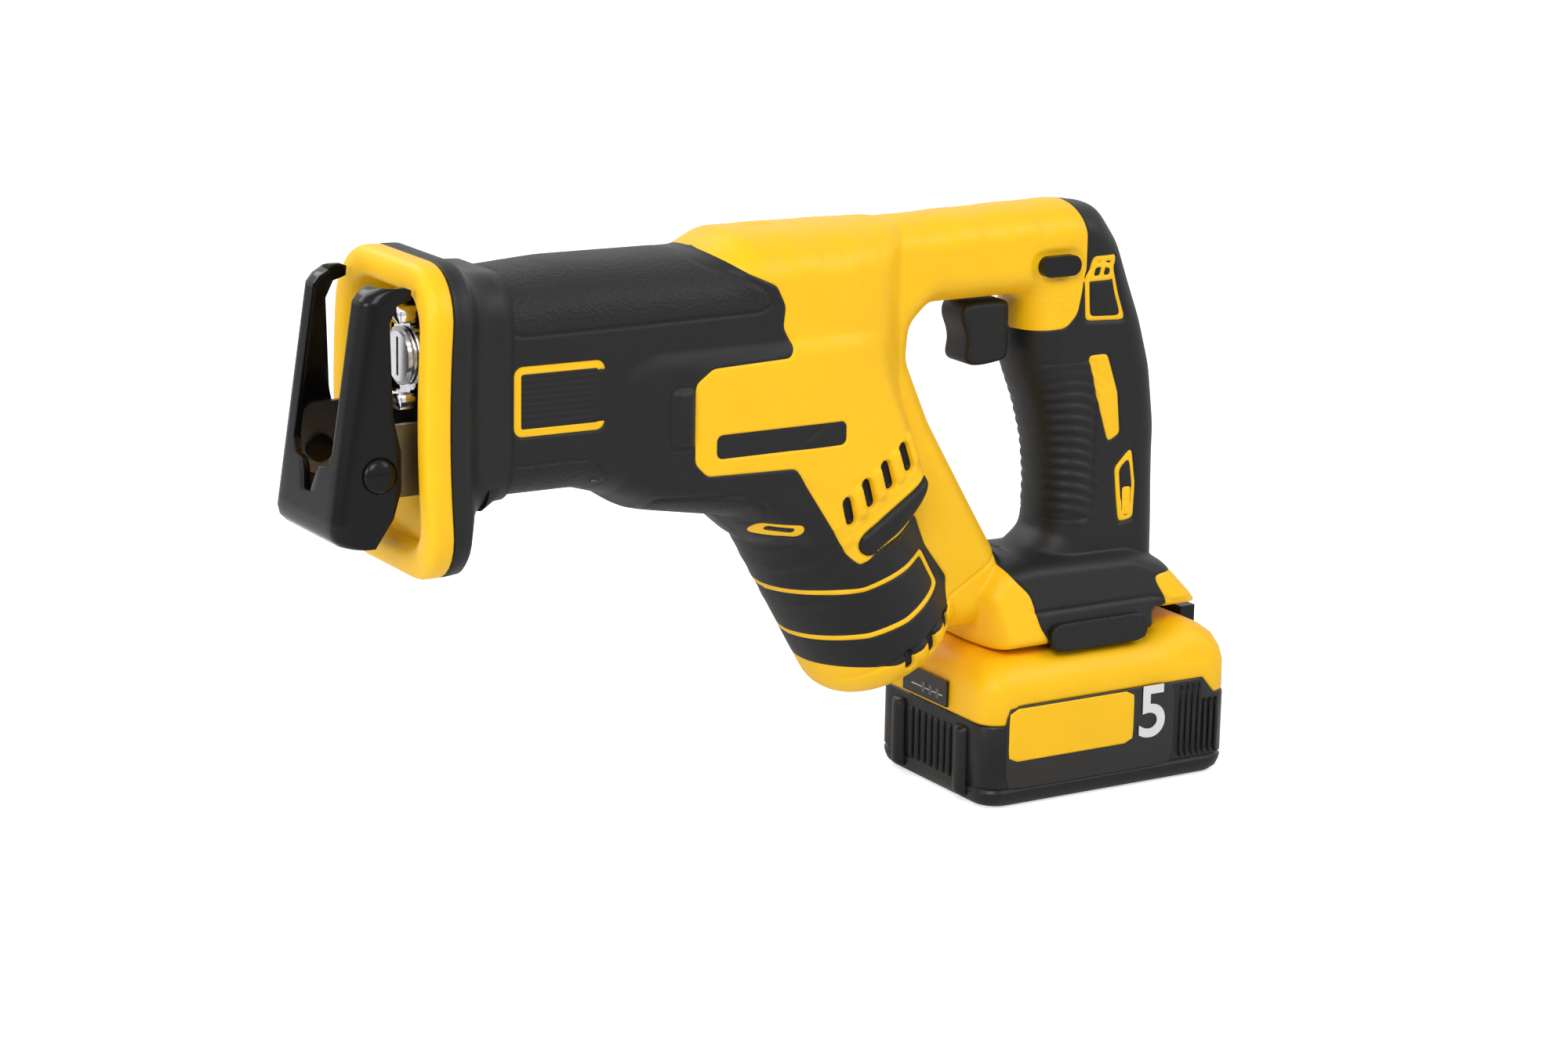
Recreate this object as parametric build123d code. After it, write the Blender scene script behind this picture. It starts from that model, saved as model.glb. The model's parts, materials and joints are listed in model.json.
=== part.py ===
from build123d import *
import math
import os

# Battery reciprocating saw, in millimetres.
# Frame: +X points to the rear, +Y to the tool's right side, +Z up.
# The origin is the centre of the battery pack's flat underside.

# ---- driving dimensions -------------------------------------------------
FIT = 0.05             # radial running clearance of shafts in their bores
GAP = 0.3              # clearance between separate mouldings
WALL = 2.6             # wall of the plastic housing
RUBBER = 2.2           # thickness of the moulded rubber skins

BATTERY_LENGTH = 118.0
BATTERY_WIDTH = 79.5
BATTERY_SPLIT = 34.0   # height of the seam between case and cover
BATTERY_TOP = 58.0
BATTERY_CORNER = 8.0
BATTERY_WALL = 2.4
TONGUE_WIDTH = 40.0
TONGUE_HEIGHT = 8.0
TONGUE_FRONT = -24.0
BLADE_LENGTH = 18.0    # terminal blades, from the terminal block's rear face
HUMP_FRONT = 30.0
HUMP_TOP = 64.0

FOOT_FRONT = -50.0
FOOT_TOP = 92.0
FOOT_HALF = 33.0
FLANGE_REAR = 56.0

BARREL_FRONT = -262.0
SLEEVE_REAR = -186.0
BARREL_HALF = 30.0
BARREL_BOTTOM = 142.0
BARREL_TOP = 225.0
ROOF = 231.0           # top of the tool over the motor and the handle
GEARBOX_REAR = -108.0
HANDLE_HALF = 18.0
GRIP_REAR = 39.0

STROKE_HEIGHT = 195.0  # height of the ram's axis
STROKE = 28.6
RAM_RADIUS = 6.5
GEAR_X = -153.0
GEAR_Z = 181.5
GEAR_RADIUS = 34.0
GEAR_TEETH = 48
PINION_TEETH = 12
PITCH_RADIUS = 30.0    # where the crown teeth meet the pinion
TOOTH_DEPTH = 2.5
TOOTH_WIDTH = 1.3

MOTOR_TILT = 30.0      # the motor's lean from the vertical, in degrees
MOTOR_HOUSING_RADIUS = 31.0
MOTOR_SPLIT = 96.0     # where the motor cover starts, measured along the motor
MOTOR_END = 138.0
MOTOR_CAP_END = 148.0
ROTOR_RADIUS = 14.0
STATOR_START = 62.0
STATOR_LENGTH = 46.0

NOSE_FRONT = -299.0
NOSE_BOTTOM = 118.0
NOSE_TOP = 232.0
NOSE_HALF = 40.0
NOSE_WALL = 4.0
CLAMP_OPENING = 21.5

BRACKET_HALF = 24.8
DEPTH_TRAVEL = 30.0
BRACKET_SHEET = 2.5
BRACKET_LOW = 150.0
BRACKET_HIGH = 176.0
PIVOT_X = -311.4
PIVOT_Z = 159.3
RIVET_RADIUS = 3.2
SHOE_SHEET = 2.5
SHOE_TOP = 226.0
SHOE_BOTTOM = 133.0
SHOE_FRONT = -328.0

# ---- derived values -----------------------------------------------------
LEAN = math.radians(MOTOR_TILT)
GEAR_CENTRE = Vector(GEAR_X, 0, GEAR_Z)
MOTOR_AXIS = Vector(math.sin(LEAN), 0, -math.cos(LEAN))
CRANK = STROKE / 2
PINION_PITCH = PITCH_RADIUS * PINION_TEETH / GEAR_TEETH
FOOT_BOTTOM = BATTERY_TOP + GAP
FOOT_REAR = HUMP_FRONT - 1.0
SHOE_INNER = BRACKET_HALF + GAP
SHOE_HALF = SHOE_INNER + SHOE_SHEET


# ---- helpers ------------------------------------------------------------
def side_prism(points, half_width, inset=0.0):
    """A side outline, given as (x, z) points, extruded equally to both sides."""
    face = make_face(Polyline(*points, close=True))
    if inset:
        face = offset(face, amount=-inset, kind=Kind.INTERSECTION)
    return extrude(Plane.XZ * face, half_width, both=True)


def block(x0, x1, y0, y1, z0, z1):
    """A box between two corners."""
    place = Pos((x0 + x1) / 2, (y0 + y1) / 2, (z0 + z1) / 2)
    return place * Box(x1 - x0, y1 - y0, z1 - z0)


def rod(start, end, radius):
    """A round bar between two points."""
    start = Vector(*start)
    end = Vector(*end)
    along = end - start
    base = (Align.CENTER, Align.CENTER, Align.MIN)
    return Plane(origin=start, z_dir=along.normalized()) * Cylinder(radius, along.length, align=base)


def cross_rod(x, z, y0, y1, radius):
    """A round bar across the tool."""
    return rod((x, y0, z), (x, y1, z), radius)


def on_motor(distance):
    """The point on the motor's axis at that distance from the crank gear's centre."""
    return GEAR_CENTRE + MOTOR_AXIS * distance


def motor_rod(start, end, radius):
    """A round bar about the motor's axis."""
    return rod(on_motor(start), on_motor(end), radius)


def rounded_slab(x0, x1, half, z0, z1, corner):
    """An upright slab with round vertical corners."""
    outline = RectangleRounded(x1 - x0, 2 * half, corner)
    return Pos((x0 + x1) / 2, 0, z0) * extrude(outline, z1 - z0)


def nose_section(x, half, low, high, corner):
    """An upright rounded rectangle across the tool at one x."""
    plane = Plane(origin=(x, 0, (low + high) / 2), x_dir=(0, 1, 0), z_dir=(1, 0, 0))
    return plane * RectangleRounded(2 * half, high - low, corner)


def right_half(solid):
    return solid & block(-500, 200, 0, 200, -50, 400)


def left_half(solid):
    return solid & block(-500, 200, -200, 0, -50, 400)


def group(*solids):
    """Separate solids that share one node."""
    return Compound(children=[s for part in solids for s in part.solids()])


# ---- housing ------------------------------------------------------------
BARREL_LINE = [
    (BARREL_FRONT, BARREL_BOTTOM), (-225, BARREL_BOTTOM), (-207, 131), (-160, 124),
    (-150, 110), (GEARBOX_REAR, 110), (GEARBOX_REAR, ROOF), (-162, ROOF),
    (-170, BARREL_TOP), (BARREL_FRONT, BARREL_TOP),
]
LOOP_LINE = [
    (-125, ROOF), (-8, ROOF), (10, ROOF - 5), (22, 200), (33, 165), (GRIP_REAR, 140),
    (GRIP_REAR, 72), (-36, 72), (-46, 88), (-74, 88), (-125, 150),
]
HAND_SPACE = [
    (-72, 196), (-30, 196), (-27, 168), (-17, 135), (-14, 104), (-20, FOOT_TOP + 3),
    (-35, FOOT_TOP + 3), (-50, 118), (-70, 152), (-82, 178),
]
FOOT_LINE = [
    (FOOT_FRONT + 14, FOOT_BOTTOM), (FOOT_REAR, FOOT_BOTTOM), (FOOT_REAR, HUMP_TOP + 2),
    (FLANGE_REAR, HUMP_TOP + 2), (GRIP_REAR + 1, 80), (20, FOOT_TOP), (-38, FOOT_TOP),
    (FOOT_FRONT, 86),
]
GRIP_REGION = [
    (-32, 176), (-3, 180), (4, 215), (18, 240), (60, 240), (60, 96), (-32, 96),
]
SCREW_PLACES = [(-102, 214), (-60, 213.5), (24, 166), (29, 108), (-58, 104)]
BUTTON_X = -18.0
BUTTON_Z = 209.0
BUTTON_LENGTH = 18.0
BUTTON_HEIGHT = 8.0
TRIGGER_FRONT = -55.0
TRIGGER_LOW = 170.5
TRIGGER_HIGH = 195.5
TRIGGER_HALF = 9.0
TRIGGER_TRAVEL = 8.0
STEM_RADIUS = 3.0


def pill(half_length, x_length, height):
    """A cross bar with a round-ended section, at the lock button's place."""
    outline = SlotOverall(x_length, height)
    return Pos(BUTTON_X, 0, BUTTON_Z) * extrude(Plane.XZ * outline, half_length, both=True)


def outer_form(inset):
    """The housing's outer form, drawn in by an inset."""
    barrel = side_prism(BARREL_LINE, BARREL_HALF - inset, inset)
    motor = motor_rod(20, MOTOR_END - inset, MOTOR_HOUSING_RADIUS - inset)
    loop = side_prism(LOOP_LINE, HANDLE_HALF - inset, inset)
    foot = side_prism(FOOT_LINE, FOOT_HALF - inset, inset)
    return barrel + motor + loop + foot


def bracket_slots(x0, x1, clearance):
    """The two slots that the shoe bracket's plates run through."""
    outer = BRACKET_HALF + clearance
    inner = BRACKET_HALF - BRACKET_SHEET - clearance
    low = BRACKET_LOW - clearance
    high = BRACKET_HIGH + clearance
    return block(x0, x1, inner, outer, low, high) + block(x0, x1, -outer, -inner, low, high)


def hand_opening(grow):
    return side_prism(HAND_SPACE, FOOT_HALF + 10, -grow)


def tongue_channel():
    """The channel in the foot that the pack's tongue slides along."""
    half = TONGUE_WIDTH / 2 + GAP
    top = BATTERY_TOP + TONGUE_HEIGHT + GAP
    return block(TONGUE_FRONT - 1.0, FOOT_REAR + 1, -half, half, FOOT_BOTTOM - 1, top)


def make_housing():
    sleeve_zone = block(BARREL_FRONT - 1, SLEEVE_REAR, -60, 60, 100, 260)
    grip_zone = side_prism(GRIP_REGION, 60)
    skin_zone = sleeve_zone + grip_zone
    outer = outer_form(0)
    under_skin = outer_form(RUBBER) - hand_opening(RUBBER)
    open_outer = outer - hand_opening(0)
    skins = (open_outer - under_skin) & skin_zone
    cavity = outer_form(WALL + RUBBER) - hand_opening(WALL + RUBBER)
    cavity_plain = outer_form(WALL) - hand_opening(WALL)
    hollow = (cavity & skin_zone) + (cavity_plain - skin_zone)
    shell = open_outer - skins - hollow
    motor_zone = motor_rod(MOTOR_SPLIT, MOTOR_END + 1, MOTOR_HOUSING_RADIUS + 1)
    motor_core = motor_rod(MOTOR_SPLIT, MOTOR_END, MOTOR_HOUSING_RADIUS)
    strut = side_prism(LOOP_LINE, HANDLE_HALF) - hand_opening(0)
    foot = side_prism(FOOT_LINE, FOOT_HALF)
    cover_zone = (motor_core & motor_zone) - strut - foot
    shell = shell - cover_zone
    bosses = [cross_rod(x, z, -HANDLE_HALF + 1, HANDLE_HALF - 1, 4.6) for x, z in SCREW_PLACES]
    for boss in bosses:
        shell = shell + (boss & (open_outer - skins))
    for x, z in SCREW_PLACES:
        shell = shell - cross_rod(x, z, -12, HANDLE_HALF + 1, 1.6)
        shell = shell - cross_rod(x, z, HANDLE_HALF - 5, HANDLE_HALF + 20, 3.4)
    ram_hole = rod((BARREL_FRONT - 2, 0, STROKE_HEIGHT), (BARREL_FRONT + 10, 0, STROKE_HEIGHT),
                   CLAMP_OPENING)
    front_cuts = ram_hole + bracket_slots(BARREL_FRONT - 2, BARREL_FRONT + 10, 0.4)
    button_cut = pill(HANDLE_HALF + 5, BUTTON_LENGTH + 2 * GAP, BUTTON_HEIGHT + 2 * GAP)
    trigger_cut = block(-40, -12, -TRIGGER_HALF - GAP, TRIGGER_HALF + GAP,
                        TRIGGER_LOW - GAP, TRIGGER_HIGH + GAP)
    cuts = front_cuts + button_cut + trigger_cut + tongue_channel()
    shell = shell - cuts
    skins = skins - cuts
    for x, z in SCREW_PLACES:
        skins = skins - cross_rod(x, z, HANDLE_HALF - 5, HANDLE_HALF + 5, 3.4)
    sleeve = skins & sleeve_zone
    grip = skins & grip_zone
    cover = cover_zone - motor_rod(MOTOR_SPLIT - 1, MOTOR_END + 1, MOTOR_HOUSING_RADIUS - WALL)
    return shell, sleeve, grip, cover


def make_motor_cap():
    """The vented cap over the motor's lower end."""
    disc = motor_rod(MOTOR_END, MOTOR_CAP_END, MOTOR_HOUSING_RADIUS - 2)
    disc = disc - motor_rod(MOTOR_END - 1, MOTOR_CAP_END - WALL, MOTOR_HOUSING_RADIUS - 2 - WALL)
    face = Plane(origin=on_motor(MOTOR_CAP_END), z_dir=MOTOR_AXIS)
    for place in (-12, -6, 0, 6, 12):
        disc = disc - face * Pos(place, 0, 0) * Box(2.4, 26, 12)
    return disc


def make_screws():
    heads = []
    for x, z in SCREW_PLACES:
        head = cross_rod(x, z, HANDLE_HALF - 5, HANDLE_HALF - 2.4, 3.3)
        shank = cross_rod(x, z, -11.5, HANDLE_HALF - 5, 1.55)
        socket = cross_rod(x, z, HANDLE_HALF - 4, HANDLE_HALF, 1.5)
        heads.append(head + shank - socket)
    return group(*heads)


# ---- nose ---------------------------------------------------------------
def nose_form(inset):
    """The flared nose, from its open front back to the barrel."""
    front = nose_section(NOSE_FRONT, NOSE_HALF - inset, NOSE_BOTTOM + inset, NOSE_TOP - inset,
                         20 - inset)
    rear = nose_section(BARREL_FRONT - GAP, BARREL_HALF + 1 - inset, BARREL_BOTTOM - 2 + inset,
                        BARREL_TOP + 1 - inset, 13 - inset)
    return loft([front, rear])


def make_nose():
    ring = nose_form(0) - nose_form(NOSE_WALL)
    plate_zone = block(BARREL_FRONT - 7, BARREL_FRONT, -60, 60, 90, 260)
    plate = nose_form(NOSE_WALL) & plate_zone
    hole = rod((BARREL_FRONT - 20, 0, STROKE_HEIGHT), (BARREL_FRONT + 5, 0, STROKE_HEIGHT),
               CLAMP_OPENING)
    boot = plate - hole - bracket_slots(BARREL_FRONT - 20, BARREL_FRONT + 5, 0.4)
    return ring, boot


# ---- gear case, crank and ram -------------------------------------------
CASE_HALF = BRACKET_HALF - BRACKET_SHEET - GAP
CASE_FRONT = -250.0
CASE_WALL = 3.0
DISC_FACE = PINION_PITCH + 1.8
DISC_BACK = 15.0
AXLE_RADIUS = 5.0
PIN_RADIUS = 4.0
FORK_HALF = 6.6


def case_block(inset):
    front = block(CASE_FRONT + inset, -195, -CASE_HALF + inset, CASE_HALF - inset,
                  153 + inset, 219 - inset)
    rear = block(-198, GEARBOX_REAR - 5 - inset, -CASE_HALF + inset, CASE_HALF - inset,
                 142 + inset, 219 - inset)
    return front + rear


def make_gear_case():
    case = case_block(0) - case_block(CASE_WALL)
    case = case - motor_rod(44.5, 120, 40) - motor_rod(36, 46, 10)
    case = case - rod((CASE_FRONT - 5, 0, STROKE_HEIGHT), (CASE_FRONT + 10, 0, STROKE_HEIGHT), 10)
    cover_zone = block(-400, 0, CASE_HALF - CASE_WALL, CASE_HALF, 0, 400)
    cover = case & cover_zone
    cover = cover - cross_rod(GEAR_X, GEAR_Z, CASE_HALF - CASE_WALL - 1, CASE_HALF + 1, AXLE_RADIUS)
    return case - cover_zone, cover


def make_bush():
    bush = rod((CASE_FRONT - 1, 0, STROKE_HEIGHT), (CASE_FRONT + 14, 0, STROKE_HEIGHT), 10)
    return bush - rod((CASE_FRONT - 2, 0, STROKE_HEIGHT), (CASE_FRONT + 15, 0, STROKE_HEIGHT),
                      RAM_RADIUS + FIT)


def make_crank_gear():
    disc = cross_rod(GEAR_X, GEAR_Z, DISC_FACE, DISC_BACK, GEAR_RADIUS)
    tooth_length = 2 * (GEAR_RADIUS - PITCH_RADIUS) - 1
    teeth = []
    for i in range(GEAR_TEETH):
        # The first tooth sits half a pitch away from the pinion's centre line.
        turn = 360 / GEAR_TEETH * (i + 0.5) - MOTOR_TILT - 90
        tooth = Pos(PITCH_RADIUS, 0, DISC_FACE - TOOTH_DEPTH / 2) * Box(
            tooth_length, TOOTH_WIDTH, TOOTH_DEPTH)
        teeth.append(Pos(GEAR_X, 0, GEAR_Z) * Rot(-90, 0, 0) * Rot(0, 0, turn) * tooth)
    gear = disc + teeth
    gear = gear - cross_rod(GEAR_X, GEAR_Z, 0, 30, AXLE_RADIUS + FIT)
    return gear - cross_rod(GEAR_X, GEAR_Z + CRANK, 0, DISC_BACK - 1, PIN_RADIUS)


def make_pinion():
    root = PINION_PITCH - 1.1
    tip = PINION_PITCH + 0.5
    start = PITCH_RADIUS - 3
    gear = motor_rod(start, start + 7, root)
    for i in range(PINION_TEETH):
        turn = 360 / PINION_TEETH * i
        place = Plane(origin=on_motor(start), x_dir=(0, 1, 0), z_dir=MOTOR_AXIS)
        tooth = Pos((root + tip) / 2 - 0.5, 0, 3.5) * Box(tip - root + 1, TOOTH_WIDTH - 0.1, 7)
        gear = gear + place * Rot(0, 0, turn) * tooth
    return gear - motor_rod(start - 1, start + 8, 4)


def make_ram():
    shaft = rod((-272, 0, STROKE_HEIGHT), (GEAR_X - 9, 0, STROKE_HEIGHT), RAM_RADIUS)
    fork_low = GEAR_Z - CRANK - PIN_RADIUS - 0.1
    fork = block(GEAR_X - 9, GEAR_X + 9, -FORK_HALF, FORK_HALF, fork_low, GEAR_Z + CRANK + 9)
    slot_half = PIN_RADIUS + GAP
    slot = block(GEAR_X - slot_half, GEAR_X + slot_half, -9, 9, fork_low - 1,
                 GEAR_Z + CRANK + slot_half)
    return shaft, fork - slot


# ---- blade clamp --------------------------------------------------------
CLAMP_FRONT = -291.0
CLAMP_REAR = -268.0
CLAMP_RADIUS = 9.0


def make_clamp():
    def axial(x0, x1, radius):
        return rod((x0, 0, STROKE_HEIGHT), (x1, 0, STROKE_HEIGHT), radius)

    body = axial(CLAMP_FRONT, CLAMP_REAR, CLAMP_RADIUS)
    body = body + axial(CLAMP_REAR - 4, CLAMP_REAR, CLAMP_RADIUS + 2.5)
    body = body - axial(-272, CLAMP_REAR + 1, RAM_RADIUS)
    body = body - block(CLAMP_FRONT - 1, -275, -0.8, 0.8, STROKE_HEIGHT - 7, STROKE_HEIGHT + 7)
    collar = axial(CLAMP_FRONT + 3, CLAMP_REAR - 4.5, CLAMP_RADIUS + 4)
    for i in range(16):
        turn = math.radians(22.5 * i)
        y = (CLAMP_RADIUS + 4.4) * math.cos(turn)
        z = STROKE_HEIGHT + (CLAMP_RADIUS + 4.4) * math.sin(turn)
        collar = collar - rod((CLAMP_FRONT, y, z), (CLAMP_REAR, y, z), 1.0)
    lever = block(CLAMP_FRONT + 4, CLAMP_REAR - 8, -19.5, -8, STROKE_HEIGHT - 3, STROKE_HEIGHT + 3)
    collar = collar + lever
    collar = collar - axial(CLAMP_FRONT, CLAMP_REAR, CLAMP_RADIUS + FIT)
    ring = axial(CLAMP_FRONT + 1, CLAMP_FRONT + 2.5, CLAMP_RADIUS + 1.6)
    ring = ring - axial(CLAMP_FRONT, CLAMP_REAR, CLAMP_RADIUS)
    return body, collar, ring


# ---- motor --------------------------------------------------------------
def make_motor():
    seat = MOTOR_HOUSING_RADIUS - WALL - GAP
    plate = motor_rod(45, 53, seat) - motor_rod(44, 47, 5) - motor_rod(46.5, 54, 11)
    front_bearing = motor_rod(46.5, 52.5, 11) - motor_rod(46, 53, 4 + FIT)
    shaft = motor_rod(27, 136, 4)
    stator = motor_rod(STATOR_START, STATOR_START + STATOR_LENGTH, seat)
    stator = stator - motor_rod(STATOR_START - 1, 120, ROTOR_RADIUS + 0.5)
    core = motor_rod(STATOR_START + 2, STATOR_START + STATOR_LENGTH - 2, ROTOR_RADIUS)
    core = core - motor_rod(STATOR_START, 120, 4)
    fan = motor_rod(112, 114, 24)
    for i in range(9):
        place = Plane(origin=on_motor(114), x_dir=(0, 1, 0), z_dir=MOTOR_AXIS)
        fan = fan + place * Rot(0, 0, 40 * i) * Pos(15, 0, 3) * Box(16, 1.6, 6.4)
    fan = fan + motor_rod(112, 122, 7) - motor_rod(111, 123, 4)
    rear_bearing = motor_rod(126, 132, 11) - motor_rod(125, 133, 4 + FIT)
    end_plate = motor_rod(125.5, 134.5, seat) - motor_rod(125, 132, 11) - motor_rod(131, 136, 5)
    for i in range(6):
        place = Plane(origin=on_motor(130), x_dir=(0, 1, 0), z_dir=MOTOR_AXIS)
        end_plate = end_plate - place * Rot(0, 0, 60 * i) * Pos(19, 0, 0) * Cylinder(4.5, 20)
    return plate, front_bearing, shaft, stator, core, fan, rear_bearing, end_plate


# ---- controls -----------------------------------------------------------
def make_controls():
    rear = -26.0
    line = [
        (TRIGGER_FRONT, TRIGGER_HIGH), (rear, TRIGGER_HIGH), (rear, TRIGGER_LOW),
        (TRIGGER_FRONT + 6, TRIGGER_LOW), (TRIGGER_FRONT + 9, 177), (TRIGGER_FRONT + 8, 186),
    ]
    trigger = side_prism(line, TRIGGER_HALF)
    trigger = fillet(trigger.edges().filter_by(Axis.Z, tolerance=40).group_by(Axis.X)[0], 2)
    middle = (TRIGGER_LOW + TRIGGER_HIGH) / 2
    stem_end = rear + 12
    trigger = trigger + rod((rear - 1, 0, middle), (stem_end, 0, middle), STEM_RADIUS)
    switch_front = rear + TRIGGER_TRAVEL + 1
    switch = block(switch_front, 9, -12, 12, 167, 198)
    bore = rod((switch_front - 1, 0, middle), (stem_end + TRIGGER_TRAVEL + 1, 0, middle),
               STEM_RADIUS + FIT)
    button = pill(HANDLE_HALF + 3, BUTTON_LENGTH, BUTTON_HEIGHT)
    return trigger, switch - bore, button


def make_foot_parts():
    tray = block(-24.5, 26, -24, 24, 70, 82)
    tray = tray - block(-22.5, 24, -22, 22, 73, 83)
    board = block(-22.2, 23.7, -21.7, 21.7, 73, 75)
    block_front = TONGUE_FRONT - 5.5
    terminal = block(block_front, TONGUE_FRONT - 1.5, -18, 18, 61, 69.6)
    terminal = terminal + block(block_front, TONGUE_FRONT + 12, -18, 18, 66.6, 69.6)
    blade_end = TONGUE_FRONT - 1.5 + BLADE_LENGTH
    blades = []
    for y in (-12, -4, 4, 12):
        blades.append(block(TONGUE_FRONT - 1.5, blade_end, y - 0.4, y + 0.4, 61, 65.5))
    pads = []
    for side in (-1, 1):
        low, high = sorted((side * FOOT_HALF, side * (FOOT_HALF + 2.4)))
        pads.append(block(-26, 19.5, low, high, FOOT_BOTTOM + 0.4, 70))
    return tray, board, terminal, group(*blades), group(*pads)


# ---- shoe ---------------------------------------------------------------
def make_bracket():
    web_front = BARREL_FRONT + DEPTH_TRAVEL + 6
    line = [
        (PIVOT_X - 7, BRACKET_LOW), (web_front, BRACKET_LOW), (web_front, 147.3),
        (-205, 147.3), (-205, BRACKET_HIGH),
        (PIVOT_X - 7, BRACKET_HIGH),
    ]
    plates = side_prism(line, BRACKET_HALF)
    inner = BRACKET_HALF - BRACKET_SHEET
    hollow = block(-330, -200, -inner, inner, 149.8, 180)
    hollow = hollow + block(-330, web_front, -inner, inner, 140, 180)
    bracket = plates - hollow
    corners = bracket.edges().filter_by(Axis.Y).group_by(Axis.X)[0]
    bracket = fillet(corners, 6)
    return bracket - cross_rod(PIVOT_X, PIVOT_Z, -60, 60, RIVET_RADIUS)


def make_rivets():
    rivets = []
    for side in (-1, 1):
        shank = cross_rod(PIVOT_X, PIVOT_Z, side * (BRACKET_HALF - BRACKET_SHEET - 1.2),
                          side * (SHOE_HALF + 0.1), RIVET_RADIUS)
        head = cross_rod(PIVOT_X, PIVOT_Z, side * (SHOE_HALF + 0.1), side * (SHOE_HALF + 1.9), 5.2)
        inner = cross_rod(PIVOT_X, PIVOT_Z, side * (BRACKET_HALF - BRACKET_SHEET),
                          side * (BRACKET_HALF - BRACKET_SHEET - 1.2), 5.2)
        rivets.append(shank + head + inner)
    return group(*rivets)


def shoe_profile():
    """The side outline of the stamped shoe, with hooks at the top."""
    return [
        (SHOE_FRONT, 140), (SHOE_FRONT + 4, SHOE_BOTTOM), (SHOE_FRONT + 15, SHOE_BOTTOM),
        (SHOE_FRONT + 22, 143), (-303, 153), (-303, 167), (-306, 180), (-307, 213),
        (-304, 219), (-298, 220), (-299, SHOE_TOP - 2), (-304, SHOE_TOP), (-310, SHOE_TOP),
        (-316, 220),
    ]


def make_shoe():
    outer = side_prism(shoe_profile(), SHOE_HALF)
    along = outer.edges().filter_by(Axis.Y, reverse=True)
    front_edges = [e for e in along if e.center().X < -318 and e.center().Z > 136.5]
    outer = fillet(front_edges, 4.5)
    inner_half = SHOE_HALF - SHOE_SHEET
    hollow_line = [
        (SHOE_FRONT + SHOE_SHEET + 0.2, 141), (-313.2, 219), (-309, SHOE_TOP - SHOE_SHEET),
        (-280, SHOE_TOP - SHOE_SHEET), (-280, SHOE_BOTTOM + SHOE_SHEET),
        (SHOE_FRONT + SHOE_SHEET + 2.6, SHOE_BOTTOM + SHOE_SHEET),
    ]
    shoe = outer - side_prism(hollow_line, inner_half)
    window = [
        (-16, 240), (-16, 166), (-13, 161), (-7, 160), (-5, 157), (-2.5, 150), (2.5, 150),
        (5, 157), (7, 160), (13, 161), (16, 166), (16, 240),
    ]
    face = Plane(origin=(-345, 0, 0), x_dir=(0, 1, 0), z_dir=(1, 0, 0)) * make_face(
        Polyline(*window, close=True))
    shoe = shoe - extrude(face, 80)
    return shoe - cross_rod(PIVOT_X, PIVOT_Z, -60, 60, RIVET_RADIUS + FIT)


LEVER_X = -222.0
LEVER_Z = 156.0


def make_shoe_lever():
    inner = BARREL_HALF + GAP
    arm = block(LEVER_X - 24, LEVER_X, inner, inner + 3, LEVER_Z - 5, LEVER_Z + 5)
    arm = arm + cross_rod(LEVER_X, LEVER_Z, inner, inner + 3, 6)
    arm = arm + block(LEVER_X - 26, LEVER_X - 20, inner, inner + 6, LEVER_Z - 5, LEVER_Z + 5)
    arm = arm - cross_rod(LEVER_X, LEVER_Z, inner - 1, inner + 9, 2 + FIT)
    pin = cross_rod(LEVER_X, LEVER_Z, BARREL_HALF - 2, inner + 3.3, 2)
    pin = pin + cross_rod(LEVER_X, LEVER_Z, inner + 3.3, inner + 4.5, 3.6)
    hole = cross_rod(LEVER_X, LEVER_Z, BARREL_HALF - 2, BARREL_HALF + 1, 2)
    return arm, pin, hole


# ---- battery ------------------------------------------------------------
LATCH_HALF = 14.0
LATCH_TRAVEL = 4.0
CELL_RADIUS = 9.1


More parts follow.
